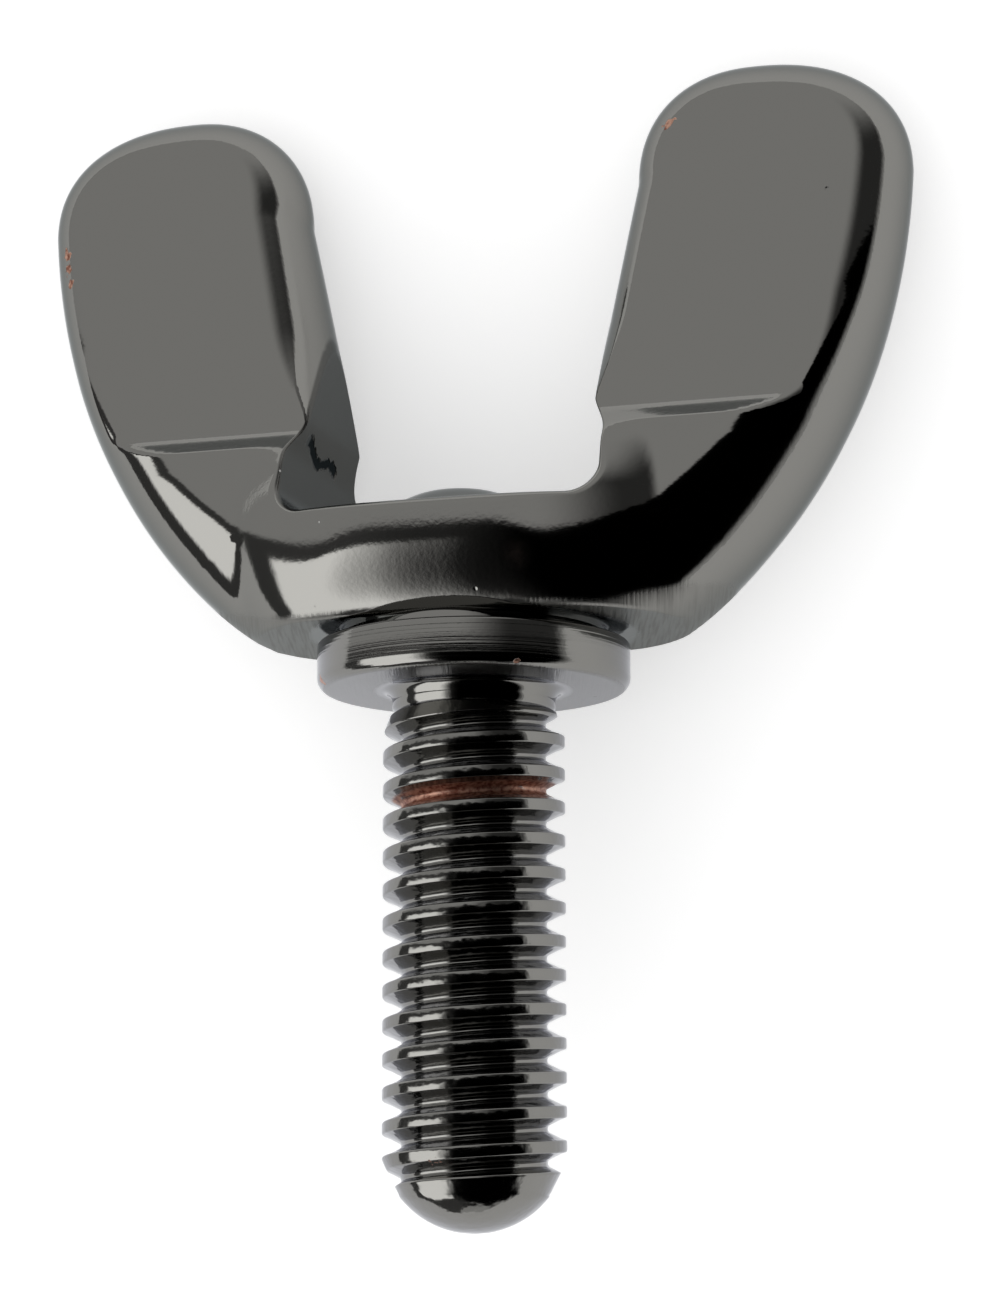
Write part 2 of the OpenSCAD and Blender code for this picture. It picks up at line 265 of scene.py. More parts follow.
def crown_gap(x, z):
    """Distance from a point in the ear top to its rounded outline."""
    reach = EAR_REACH - CROWN_X if x > CROWN_X else CROWN_X - NECK_IN_X
    across, up = abs(x - CROWN_X), z - CROWN_Z
    level = ((across / reach) ** CROWN_POWER + (up / CROWN_H) ** CROWN_POWER) ** (1 / CROWN_POWER)
    from_middle = math.hypot(across, up)
    return CROWN_H if from_middle < 0.01 else from_middle * (1 / max(0.001, level) - 1)


def crown_share(x, z):
    """Share of the thickness left by the round along the top of an ear."""
    rim = mix(INNER_ROUND, OUTER_ROUND, ease(0.5 + (x - CROWN_X) / 6))
    return edge_share(crown_gap(x, z), rim, CIRCLE)


def side_share(inner, outer, along, z):
    """Share of the thickness left by the rounds at the inner and the outer edge."""
    near_in = along + INNER_ROUND * (1 - ease((inner[1] - HUB_TOP - 0.4) / 2))
    near_out = ((outer - inner).length - along) * mix(1, LOW_EDGE,
                                                      ease((LOW_EDGE_Z - z) / LOW_EDGE_H))
    on_web = ease((outer[0] - HUB_END_X) / HUB_END_W)
    if outer[1] > WEB_Z:
        low_down = ease((WEB_ROUND_TOP - outer[1]) / (WEB_ROUND_TOP - WEB_Z))
        outer_width = mix(OUTER_ROUND, WEB_ROUND, low_down)
    else:
        outer_width = mix(HUB_ROUND, WEB_ROUND, on_web)
    return min(edge_share(near_in, INNER_ROUND, CIRCLE),
               edge_share(near_out, outer_width, mix(FULLER, CIRCLE, on_web)))


def half_thickness(inner, outer, along):
    """Half thickness on the section from inner to outer, at a distance along it."""
    x, z = mix(inner, outer, along / (outer - inner).length)
    edge = crown_share(x, z) if z > CROWN_Z else side_share(inner, outer, along, z)
    forged = soft_max(hub_half(x, z), web_half(z), BLEND) * edge
    return soft_min(forged, pressed_half(z), PAD_ARRIS)


print("half thickness at the hub's middle:",
      round(half_thickness(Vector((0, HUB_TOP)), Vector((0, UNDER_Z)), 3.0), 2), "mm")

# %% [markdown]
# ## Where the head is trimmed
# After forging, the gap between the ears is trimmed through: a flat saddle, small corners, and
# two flat walls that run out up the ears. The underside is faced flat on a lathe. Boolean cuts
# could do it, but cutting each section to length gives an even skin and a soft arris.

# %% Trim a section to length
def gap_wall(z):
    """Half width of the trimmed gap at height z, or nothing below the saddle."""
    if z < SADDLE_Z:
        return -1.0
    if z < SADDLE_Z + SLOT_ROUND:
        up = SADDLE_Z + SLOT_ROUND - z
        return FOOT_HALF - SLOT_ROUND + math.sqrt(max(0, SLOT_ROUND ** 2 - up ** 2))
    return mix(FOOT_HALF, WAIST_HALF, ease((z - LEAN_START) / (WAIST_Z - LEAN_START)))


def trimmed_ends(inner, outer):
    """Shares of the section's length at which its metal starts and stops."""
    def cut_inside(t):
        x, z = mix(inner, outer, t)
        return x < gap_wall(z) and z < GAP_TOP

    def cut_under(t):
        x, z = mix(inner, outer, t)
        return z < HEAD_Z and x < FACE_R

    ends = []
    for is_cut, near, far in ((cut_inside, 0.0, 0.6), (cut_under, 1.0, 0.4)):
        if not is_cut(near):
            ends.append(near)
            continue
        for _ in range(40):
            middle = (near + far) / 2
            near, far = (middle, far) if is_cut(middle) else (near, middle)
        ends.append(far)
    return ends


def spread(start, stop, count, bunch_start, bunch_stop):
    """count steps from start to stop, closer together at the ends that are bunched."""
    steps = []
    for i in range(count):
        t = i / count
        if bunch_start and bunch_stop:
            t = (1 - math.cos(math.pi * t)) / 2
        elif bunch_start:
            t = 1 - math.cos(math.pi * t / 2)
        elif bunch_stop:
            t = math.sin(math.pi * t / 2)
        steps.append(mix(start, stop, t))
    return steps


print("saddle section keeps", [round(t, 3) for t in
                               trimmed_ends(Vector((1, HUB_TOP)), Vector((1, UNDER_Z)))])

# %% [markdown]
# ## One section as a closed line
# Each section is walked round once: along the front, across the outer end, back along the rear
# and across the inner end. Every section has the same number of points, so the skin can be drawn
# from one to the next. The points bunch at the edges, where the surface turns fast.

# %% Points of one section
ARRIS = 0.15  # soft edge where a cut meets the forged skin
SADDLE_ARRIS = 0.42  # wider along the saddle and round its corners
ARRIS_SHARE, ARRIS_LEAST = 0.7, 0.02  # an arris keeps to this share of the half thickness
EDGE_BAND, OUTER_BAND = 1.2, 2.6  # width of the bunched bands on a wide section
WIDE, END_POINTS = 9, 22
LANES = ((6, True, False), (9, True, False), (13, False, False),
         (13, False, True), (6, False, True))       # points, bunched at the start, at the end


def section_points(inner, outer, side):
    """The points round one section in the drawing; side is 1 for the right ear, -1 for the left."""
    width = (outer - inner).length
    start, stop = (width * t for t in trimmed_ends(inner, outer))
    soft = mix(SADDLE_ARRIS, ARRIS, ease((mix(inner, outer, start / width)[1] - 8) / 1.5))
    first = last = 0.0
    if start > 0:
        first = min(soft, ARRIS_SHARE * half_thickness(inner, outer, start))
    if stop < width:
        last = min(ARRIS, ARRIS_SHARE * half_thickness(inner, outer, stop))
    marks = [start, start + max(first, ARRIS_LEAST)]
    marks.append(max(marks[1] + 0.1, min(EDGE_BAND, 0.3 * width)))
    marks.append(max(marks[2] + 0.1, min(stop - 0.3 * width, stop - OUTER_BAND)
                     if width > WIDE else stop - 0.35 * width))
    marks += [stop - max(last, ARRIS_LEAST), stop]
    stops = []
    for (count, near, far), low, high in zip(LANES, marks, marks[1:]):
        stops += spread(low, high, count, near, far)
    stops.append(stop)

    def depth(along):
        half = half_thickness(inner, outer, along)
        for arris, gap in ((first, along - start), (last, stop - along)):
            if arris > 0 and gap < arris:
                half -= arris - math.sqrt(max(0.0, arris ** 2 - (arris - gap) ** 2))
        return max(0.0, half)

    def place(along, y):
        x, z = mix(inner, outer, along / width)
        return Vector((side * x, y, z))

    def across(along):
        half = depth(along)
        return [-half * math.cos(math.pi * i / END_POINTS) for i in range(1, END_POINTS)]

    front = [place(a, -depth(a)) for a in stops]
    back = [place(a, depth(a)) for a in reversed(stops)]
    outer_end = [place(stop, y) for y in across(stop)]
    inner_end = [place(start, -y) for y in across(start)]
    return front + outer_end + back + inner_end


print("points in a section:", len(section_points(Vector((0, HUB_TOP)), Vector((0, UNDER_Z)), 1)))

# %% [markdown]
# ## The forged head
# A ring of edges is laid at the middle of the hub and pulled out station by station, each new
# ring put on its own section, as a smith would draw the bar. The last ring closes to a point at
# the top of the ear. The other half is a mirror image, merged at the middle. The stations stand
# closer together where the surface turns fast, because gloss shows every flat.

# %% Draw the head out of a ring
HUB_STEPS, TURN_STEPS, EAR_STEPS, CROWN_STEPS = 9, 46, 30, 22
TURN_START, TURN_PACE = 0.28, 0.9  # where on the shoulder the fan opens, and how fast
TOP_SHARE = 0.9995  # the last ring, just under the top of the ear
MERGE = 1e-4  # points of the drawing closer than this are one


def half_stations():
    """The sections of one half, from the middle of the hub to the top of the ear."""
    turn_in, turn_out = at_height(INNER_CURVE, WEB_Z), at_height(OUTER_CURVE, WEB_Z)
    stations = [(Vector((FLAT_X * i / HUB_STEPS, HUB_TOP)),
                 Vector((FLAT_X * i / HUB_STEPS, UNDER_Z))) for i in range(HUB_STEPS)]
    for i in range(TURN_STEPS):
        t = i / TURN_STEPS
        if t < TURN_START:
            outer = Vector((mix(FLAT_X, OUTER_CURVE[0][0], t / TURN_START), UNDER_Z))
        else:
            fan = ((t - TURN_START) / (1 - TURN_START)) ** TURN_PACE
            outer = bezier(OUTER_CURVE, turn_out * fan)
        stations.append((bezier(INNER_CURVE, turn_in * t), outer))
    ledge_low, ledge_high = LEDGE_Z - 0.15, LEDGE_Z + 0.15
    foot_low, foot_high = PAD_FOOT_Z - 0.35, PAD_FOOT_Z + 0.4
    bands = ((WEB_Z, ledge_low, 5), (ledge_low, ledge_high, 5), (ledge_high, foot_low, 4),
             (foot_low, foot_high, 10), (foot_high, CROWN_Z, EAR_STEPS))
    levels = [mix(low, high, i / count) for low, high, count in bands for i in range(count)]
    levels += [CROWN_Z + CROWN_H * math.sin(math.pi * i / CROWN_STEPS / 2)
               for i in range(CROWN_STEPS)]
    levels.append(CROWN_Z + CROWN_H * TOP_SHARE)
    return stations + [(inner_at(z), outer_at(z)) for z in levels]


def pulled_ring(mesh, ring):
    """Extrudes a closed ring of edges and returns the new ring's vertices in the same order."""
    edges = [mesh.edges.get((a, b)) for a, b in zip(ring, ring[1:] + ring[:1])]
    made = bmesh.ops.extrude_edge_only(mesh, edges=edges)["geom"]
    fresh = {v for v in made if isinstance(v, bmesh.types.BMVert)}
    return [next(e.other_vert(v) for e in v.link_edges if e.other_vert(v) in fresh) for v in ring]


def finished_piece(name, mesh):
    """Merges doubles, turns the faces outwards, smooths the shading and lays the piece down."""
    bmesh.ops.remove_doubles(mesh, verts=mesh.verts, dist=MERGE)
    bmesh.ops.dissolve_degenerate(mesh, edges=mesh.edges, dist=MERGE)
    bmesh.ops.recalc_face_normals(mesh, faces=mesh.faces)
    bmesh.ops.transform(mesh, matrix=LAY_DOWN, verts=mesh.verts)
    data = bpy.data.meshes.new(name)
    for face in mesh.faces:
        face.smooth = True
    mesh.to_mesh(data)
    open_edges = sum(1 for e in mesh.edges if len(e.link_faces) != 2)
    mesh.free()
    piece = bpy.data.objects.new(name, data)
    bpy.context.scene.collection.objects.link(piece)
    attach(piece, "root")
    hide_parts("wing_screw")
    print(name, len(data.polygons), "faces,", open_edges, "open edges")
    return piece


def forged_half():
    """One half of the head as an open mesh, its cut side at the middle of the hub."""
    mesh = bmesh.new()
    stations = half_stations()
    ring = [mesh.verts.new(p) for p in section_points(*stations[0], 1)]
    for a, b in zip(ring, ring[1:] + ring[:1]):
        mesh.edges.new((a, b))
    for station in stations[1:]:
        ring = pulled_ring(mesh, ring)
        for vertex, point in zip(ring, section_points(*station, 1)):
            vertex.co = point
    bmesh.ops.pointmerge(mesh, verts=ring, merge_co=Vector((CROWN_X, 0, EAR_TOP)))
    return mesh


head_mesh = forged_half()
bmesh.ops.mirror(head_mesh, geom=head_mesh.verts[:] + head_mesh.edges[:] + head_mesh.faces[:],
                 matrix=Matrix.Identity(4), merge_dist=1e-5, axis="X")
head = finished_piece("forged_head", head_mesh)

# %% [markdown]
# ## The flange
# The groove, the flange and the neck were turned on a lathe, so their outline is drawn once and
# spun round the axis. Small rounds on the edges catch the light, as they do on the real part. At
# both ends the piece runs on a little way inside its neighbours, so that no gap can show.

# %% Spin the flange
SPIN_STEPS = 160
EDGE_ROUND = 0.18  # the flange's upper edge and the groove's corner
SEAT_IN_R, FILLET_H = MAJOR_R + 0.1, 0.5  # the fillet from the seating face to the neck
INTO_HEAD, INTO_THREAD = 0.8, 0.45


def round_points(centre, radius, start, stop, count):
    """Points on an arc in the plane of the outline, angles in degrees."""
    return [(centre[0] + radius * math.cos(math.radians(mix(start, stop, i / count))),
             centre[1] + radius * math.sin(math.radians(mix(start, stop, i / count))))
            for i in range(count + 1)]


def spun(outline):
    """A bmesh made by spinning an outline of (radius, height) points once round the axis."""
    mesh = bmesh.new()
    points = [mesh.verts.new((r, 0, z)) for r, z in outline]
    edges = [mesh.edges.new(pair) for pair in zip(points, points[1:])]
    bmesh.ops.spin(mesh, geom=points + edges, cent=(0, 0, 0), axis=(0, 0, 1), dvec=(0, 0, 0),
                   angle=math.tau, steps=SPIN_STEPS, use_merge=True)
    return mesh


groove_r = FLANGE_R - GROOVE_DEPTH
flange_outline = [(0, HEAD_Z + INTO_HEAD), (groove_r - 0.2, HEAD_Z + INTO_HEAD)]
flange_outline += [(groove_r - 0.2, HEAD_Z + 0.1)]
flange_outline += round_points((groove_r + 0.05, FLANGE_T + EDGE_ROUND), EDGE_ROUND, 180, 270, 5)
flange_outline += round_points((FLANGE_R - EDGE_ROUND, FLANGE_T - EDGE_ROUND), EDGE_ROUND,
                               90, 0, 6)
flange_outline += round_points((FLANGE_R - FLANGE_ROUND, FLANGE_ROUND), FLANGE_ROUND, 0, -90, 9)
flange_outline += [(SEAT_IN_R - (SEAT_IN_R - NECK_R) * math.sin(math.radians(a)),
                    FILLET_H * (math.cos(math.radians(a)) - 1)) for a in range(0, 91, 10)]
flange_outline += [(NECK_R, -NECK_LENGTH)]
flange_outline += [(ROOT_R - 0.1, -NECK_LENGTH - INTO_THREAD), (0, -NECK_LENGTH - INTO_THREAD)]
flange = finished_piece("turned_flange", spun(flange_outline))

# %% [markdown]
# ## The mound on the saddle
# Trimming the gap left a low mound between the ears. It is round enough to be spun as well: a
# level top, a flank that runs out smoothly, and a foot sunk in the saddle.

# %% Spin the mound
MOUND_STEPS, MOUND_SINK, MOUND_FOOT = 14, 0.03, 0.5
mound_outline = [(0, SADDLE_Z + MOUND_H)]
mound_outline += [(MOUND_R - MOUND_FLANK * (1 - i / MOUND_STEPS),
                   SADDLE_Z - MOUND_SINK + MOUND_H * ease(1 - i / MOUND_STEPS))
                  for i in range(MOUND_STEPS + 1)]
mound_outline += [(MOUND_R, SADDLE_Z - MOUND_FOOT), (0, SADDLE_Z - MOUND_FOOT)]
mound_mesh = spun(mound_outline)
bmesh.ops.translate(mound_mesh, verts=mound_mesh.verts, vec=(MOUND_X, 0, 0))
mound = finished_piece("saddle_mound", mound_mesh)

# %% [markdown]
# ## The thread
# A thread is one groove wound round and round. The outline of one turn goes from the middle of
# the root up a flank, over the crest and down again. At both ends the die leaves less of it, which
# is told here by the largest radius at each height.

# %% The outline of one turn, and where the die runs out
CREST_SOFT = 0.11  # round on the crest's edges under the thick plate
ROOT_SOFT = 0.02  # and the little that the plate fills the root's corners
FLANK_SHARES = (0.03, 0.12, 0.4, 0.7)
THREAD_TOP = -NECK_LENGTH
THREAD_BOTTOM = -(SHANK_LENGTH - TIP_LENGTH)
RUN_OUT = [(THREAD_TOP - 1.1, MAJOR_R), (THREAD_TOP - 0.1, NECK_R + 0.02), (THREAD_TOP, ROOT_R)]
LEAD_IN = [(THREAD_BOTTOM + 1.5, MAJOR_R), (THREAD_BOTTOM + 0.1, TIP_R + 0.03),
           (THREAD_BOTTOM, TIP_R)]


def thread_outline():
    """One turn of the thread as (radius, height) points, from root middle to root middle."""
    root, crest = ROOT_WIDTH / 2, CREST_WIDTH / 2
    slope = math.degrees(math.atan2(MAJOR_R - ROOT_R, PITCH / 2 - root - crest))
    soft = CREST_SOFT / math.tan(math.radians((180 - slope) / 2))
    upper = [(ROOT_R, PITCH / 2), (ROOT_R, PITCH / 2 - root * 0.4)]
    upper += [(mix(ROOT_R, MAJOR_R, t) + ROOT_SOFT * (1 - t) ** 8,
               mix(PITCH / 2 - root, crest, t)) for t in FLANK_SHARES]
    arc = round_points((MAJOR_R - CREST_SOFT, crest - soft * 0.6), CREST_SOFT,
                       90 - (90 - slope) * 0.2, 0, 5)
    upper += [(r, z) for r, z in arc if z < upper[-1][1] - 0.01]
    lower = [(r, -z) for r, z in reversed(upper)]
    return upper + lower


def envelope(z):
    """The largest radius that the die leaves at height z."""
    for line, upwards, beyond in ((RUN_OUT, 1, ROOT_R - 0.02), (LEAD_IN, -1, TIP_R)):
        if upwards * z > upwards * line[0][0]:
            for (z0, r0), (z1, r1) in zip(line, line[1:]):
                if upwards * z <= upwards * z1:
                    return mix(r0, r1, (z - z0) / (z1 - z0))
            return beyond
    return MAJOR_R


print("points in a turn's outline:", len(thread_outline()),
      "- radius half a pitch from the tip:", round(envelope(THREAD_BOTTOM + PITCH / 2), 2))

# %% [markdown]
# ## Winding it
# The outline is spun down the axis as it turns: bmesh's spin takes a step along as well as an
# angle. Neighbouring turns share their edge, so they merge into one skin. It is cut off level at
# both ends, and each point outside the envelope is pulled in to it, as the die does.

# %% Wind the thread
THREAD_STEPS = 72  # steps in one turn
THREAD_SHIFT = 0.05  # how far below the neck's end the thread starts
THREAD_MERGE = 0.004
INTO_NECK = 0.35  # how far the thread's skin runs up inside the neck


def wound_thread():
    """The threaded shank as an open tube, from inside the neck down to the tip."""
    first = THREAD_TOP - THREAD_SHIFT + 2 * PITCH
    turns = math.ceil((first - THREAD_BOTTOM) / PITCH + 1.5)
    mesh = bmesh.new()
    points = [mesh.verts.new((r, 0, first + z)) for r, z in thread_outline()]
    edges = [mesh.edges.new(pair) for pair in zip(points, points[1:])]
    bmesh.ops.spin(mesh, geom=points + edges, cent=(0, 0, 0), axis=(0, 0, -1),
                   dvec=(0, 0, -PITCH / THREAD_STEPS), angle=math.tau * turns,
                   steps=THREAD_STEPS * turns, use_merge=False)
    bmesh.ops.remove_doubles(mesh, verts=mesh.verts, dist=THREAD_MERGE)
    for height, outwards in ((THREAD_TOP + INTO_NECK, 1), (THREAD_BOTTOM, -1)):
        bmesh.ops.bisect_plane(mesh, geom=mesh.verts[:] + mesh.edges[:] + mesh.faces[:],
                               dist=1e-5, plane_co=(0, 0, height), plane_no=(0, 0, outwards),
                               clear_outer=True)
    for vertex in mesh.verts:
        radius = math.hypot(vertex.co.x, vertex.co.y)
        limit = envelope(vertex.co.z)
        if radius > limit or vertex.co.z < THREAD_BOTTOM + 0.02:
            vertex.co.x *= limit / radius
            vertex.co.y *= limit / radius
    return mesh


thread_mesh = wound_thread()
print("faces in the wound thread:", len(thread_mesh.faces))

# %% [markdown]
# ## The tip
# The tip is part of a ball. The tube's open rim is pulled down ring by ring, each ring as wide as
# the ball is at that height, and the last one is drawn together to a point. Spinning the ball
# apart would be shorter, but the rim's points wouldn't meet the thread's.

# %% Round off the tip
TIP_STEPS = 12


def rim_edges(mesh, height):
    """The open edges of a mesh at one height."""
    return [e for e in mesh.edges if len(e.link_faces) == 1
            and all(abs(v.co.z - height) < 1e-3 for v in e.verts)]


ball_r = (TIP_R ** 2 + TIP_LENGTH ** 2) / (2 * TIP_LENGTH)
ball_angle = math.asin(TIP_R / ball_r)
rim = rim_edges(thread_mesh, THREAD_BOTTOM)
print("tip rim has", len(rim), "edges")
for step in range(1, TIP_STEPS):
    made = bmesh.ops.extrude_edge_only(thread_mesh, edges=rim)["geom"]
    angle = ball_angle * (1 - step / TIP_STEPS)
    for vertex in (g for g in made if isinstance(g, bmesh.types.BMVert)):
        radius = math.hypot(vertex.co.x, vertex.co.y)
        vertex.co.x *= ball_r * math.sin(angle) / radius
        vertex.co.y *= ball_r * math.sin(angle) / radius
        vertex.co.z = ball_r - SHANK_LENGTH - ball_r * math.cos(angle)
    rim = [g for g in made if isinstance(g, bmesh.types.BMEdge)]
last_ring = list({v for e in rim for v in e.verts})
bmesh.ops.pointmerge(thread_mesh, verts=last_ring, merge_co=Vector((0, 0, -SHANK_LENGTH)))
bmesh.ops.edgeloop_fill(thread_mesh, edges=rim_edges(thread_mesh, THREAD_TOP + INTO_NECK))
thread = finished_piece("threaded_shank", thread_mesh)

# %% [markdown]
# ## A short way to write nodes
# A finish is a sum of small effects, and each is a little formula on the point being shaded. The
# nodes could be placed one by one; here a value from a node takes part in plain sums instead, so
# that a formula reads like one. Net adds every node, and Wire is a value that runs between them.

# %% Nodes as sums
def sum_of(operation, *terms):
    """One Math node on wires and numbers; a sum of numbers alone isn't a node's work."""
    net = next(term.net for term in terms if isinstance(term, Wire))
    made = net.node("ShaderNodeMath", {"operation": operation}, dict(enumerate(terms)))
    return Wire(net, made.outputs[0])


class Wire:
    """A number or vector that comes out of a node."""

    def __init__(self, net, socket):
        self.net, self.socket = net, socket

    def __add__(self, other):
        return sum_of("ADD", self, other)

    def __sub__(self, other):
        return sum_of("SUBTRACT", self, other)

    def __rsub__(self, other):
        return sum_of("SUBTRACT", other, self)

    def __mul__(self, other):
        return sum_of("MULTIPLY", self, other)

    def __truediv__(self, other):
        return sum_of("DIVIDE", self, other)

    def __abs__(self):
        return sum_of("ABSOLUTE", self)

    __radd__, __rmul__ = __add__, __mul__

    def ramp(self, start, stop):
        """0 before start, 1 after stop and a smooth step between; start may be the larger."""
        made = self.net.node("ShaderNodeMapRange", {"interpolation_type": "SMOOTHSTEP"},
                             {"Value": self, "From Min": start, "From Max": stop})
        return Wire(self.net, made.outputs["Result"])


COLOUR_A, COLOUR_B, COLOUR_OUT = 6, 7, 2  # a Mix node has a set of sockets for each data type


class Net:
    """A node tree that nodes are added to in one way."""

    def __init__(self, tree):
        self.tree = tree

    def node(self, kind, settings, values):
        """Adds a node; its settings are made first, then each socket gets a value or a wire."""
        made = self.tree.nodes.new(kind)
        for key, value in settings.items():
            setattr(made, key, value)
        for key, value in values.items():
            self.feed(made.inputs[key], value)
        return made

    def feed(self, socket, value):
        """Gives a socket a number, or the wire's link."""
        if isinstance(value, Wire):
            self.tree.links.new(value.socket, socket)
        else:
            socket.default_value = value

    def vector(self, operation, *terms):
        """The vector that comes out of a Vector Math node."""
        made = self.node("ShaderNodeVectorMath", {"operation": operation}, dict(enumerate(terms)))
        return Wire(self, made.outputs["Vector"])

    def measure(self, operation, *terms):
        """The number that comes out of a Vector Math node, such as a distance."""
        made = self.node("ShaderNodeVectorMath", {"operation": operation}, dict(enumerate(terms)))
        return Wire(self, made.outputs["Value"])

    def noise(self, point, scale, detail=2.0):
        """Soft noise about 0.5, its grain 1/scale wide."""
        made = self.node("ShaderNodeTexNoise", {}, {"Vector": point, "Scale": scale,
                                                    "Detail": detail})
        return Wire(self, made.outputs["Fac"])

    def blend(self, share, first, second):
        """A colour between two."""
        made = self.node("ShaderNodeMix", {"data_type": "RGBA"},
                         {0: share, COLOUR_A: first, COLOUR_B: second})
        return Wire(self, made.outputs[COLOUR_OUT])


print("a wire knows:", [name.strip("_") for name, part in vars(Wire).items() if callable(part)])

# %% [markdown]
# ## The point being shaded, in the drawing's frame
# Every effect is easier to place where the drawing's own numbers hold: height along the screw's
# axis, front and back, left and right, in millimetres. One Mapping node undoes the lay-down.

# %% From the object's coordinates back to the drawing
def drawing_point(net):
    """The point in the drawing's frame, with its x, y, z and its distance from the axis."""
    back = LAY_DOWN.inverted()
    coordinates = net.node("ShaderNodeTexCoord", {}, {})
    mapped = net.node("ShaderNodeMapping", {"vector_type": "POINT"},
                      {"Vector": Wire(net, coordinates.outputs["Object"]),
                       "Location": back.to_translation(), "Rotation": back.to_euler(),
                       "Scale": back.to_scale()})
    point = Wire(net, mapped.outputs["Vector"])
    parts = net.node("ShaderNodeSeparateXYZ", {}, {"Vector": point})
    x, y, z = (Wire(net, parts.outputs[axis]) for axis in "XYZ")
    radius = sum_of("SQRT", x * x + y * y)
    return point, x, y, z, radius


print("back from the table:", [round(v, 2) for v in LAY_DOWN.inverted() @ head.location])

# %% [markdown]
# ## The finish
# The metal wears a dark mirror-bright plate over copper. Under a plain gloss shader it would look
# like plastic poured yesterday, so the plate carries what real plate does: a faint orange peel, a
# fine grain, stray pits and specks of dust, the marks of the tools that showed through it, and
# chips at the corners where the copper comes to light. On the head it also carries painted shade.
# Heights are in millimetres, as the drawing is, and a noise's scale tells how many of its grains
# fit in one.

# %% Plate with its wear and painted shade
PLATE = (0.19, 0.187, 0.176, 1)
FORGED_EDGE = (0.52, 0.54, 0.55, 1)  # the plate's tint at a grazing angle, on the head
TURNED_EDGE = (0.86, 0.87, 0.92, 1)  # and on the smoother turned parts
COPPER = (0.46, 0.27, 0.20, 1)
TARNISH = (0.16, 0.06, 0.04, 1)
DUST = (0.62, 0.62, 0.60, 1)
BLACK = (0, 0, 0, 1)
PEEL_SCALE, PEEL_H = 0.55, 0.004
GRAIN_SCALE, GRAIN_H = 5.0, 0.0022
SPOT_SCALE, PIT_H = 0.42, 0.02  # spots are sown once in a cell; some are pits, a few dust
CHIP_SCALE, CHIP_H, CHIP_RAGGED = 3.5, 0.012, 2.6


def plated(name, edge, chips, tool_marks_and_painted_shade):
    """The plate: edge is its grazing tint, chips are (place, radius) pairs, and the last argument
    adds the marks of one part's own tools and that part's painted shade."""
    material = bpy.data.materials.new(name)
    material.use_nodes = True
    net = Net(material.node_tree)
    shader = material.node_tree.nodes["Principled BSDF"]
    point, x, y, z, radius = drawing_point(net)

    peel = net.noise(point, PEEL_SCALE)
    grain = net.noise(point, GRAIN_SCALE, 3.0)
    cells = net.node("ShaderNodeTexVoronoi", {}, {"Vector": point, "Scale": SPOT_SCALE})
    lucky = Wire(net, net.node("ShaderNodeSeparateColor", {},
                               {"Color": Wire(net, cells.outputs["Color"])}).outputs["Red"])
    from_spot = Wire(net, cells.outputs["Distance"])
    pit = from_spot.ramp(0.055, 0.02) * lucky.ramp(0.74, 0.76)
    speck = from_spot.ramp(0.03, 0.015) * lucky.ramp(0.12, 0.10)
    height = peel * PEEL_H + grain * GRAIN_H - pit * PIT_H

    ragged = net.noise(point, CHIP_SCALE, 5.0)
    bare = None
    for place, size in chips:
        near = net.measure("DISTANCE", point, place) + (ragged - 0.5) * (CHIP_RAGGED * size)
        chip = near.ramp(size, 0.75 * size)
        bare = chip if bare is None else sum_of("MAXIMUM", bare, chip)
    # The last value is painted shade: 1 leaves the colour as it is, less darkens it towards black.
    rough, height, bare, painted_shade = tool_marks_and_painted_shade(net, (point, x, y, z, radius), height, bare)

    tone = net.blend(grain.ramp(0.35, 0.7), COPPER, TARNISH)
    colour = net.blend(bare, PLATE, tone)
    # Painted shade darkens the colour towards black before the specks of dust lighten it.
    colour = net.blend(speck * 0.6, net.blend(painted_shade, BLACK, colour), DUST)
    net.feed(shader.inputs["Base Color"], colour)
    net.feed(shader.inputs["Metallic"], 1 - speck * 0.8)
    net.feed(shader.inputs["Roughness"], rough + bare * 0.3 + speck * 0.3)
    shader.inputs["Specular Tint"].default_value = edge
    bump = net.node("ShaderNodeBump", {}, {"Height": height - bare * CHIP_H,
                                           "Distance": MILLIMETRE})
    net.feed(shader.inputs["Normal"], Wire(net, bump.outputs["Normal"]))
    return material


print("plate", PLATE[:3], "over copper", COPPER[:3])

# %% [markdown]
# ## The marks of the tools, and painted shade
# Each part was finished by its own tools, and their marks show through the plate: a grinding belt
# on the head's underside and on the seating face, a lathe round the flange. The left wall of the
# gap has a torn crease, and one turn of the thread's groove has worn down to the copper. Painted
# images could hold them, but formulas stay sharp at any distance. Each function below takes what
# the plate has so far and gives back roughness, height, bare copper and a factor of painted shade.
# Only the head's paints shade: it darkens the left wall of the gap and blackens the crease.

# %% Marks on the head, and painted shade in its gap
STREAKS_ACROSS, STREAKS_ALONG, STREAK_H = 8.0, 0.3, 0.02
HEAD_ROUGH = 0.07
CREASE_Z, CREASE_H = 10.35, 0.1
STAIN_AT, STAIN_R = (3.9, -6.4, 4.4), 0.9


def ground_streaks(net, x, y):
    """Fine straight lines left by a grinding belt that ran from front to back."""
    across = x * level_right[0] + y * level_right[1]
    along = x * level_right[1] - y * level_right[0]
    place = net.node("ShaderNodeCombineXYZ", {}, {"X": across * STREAKS_ACROSS,
                                                  "Y": along * STREAKS_ALONG})
    return net.noise(Wire(net, place.outputs["Vector"]), 1.0, 3.0)


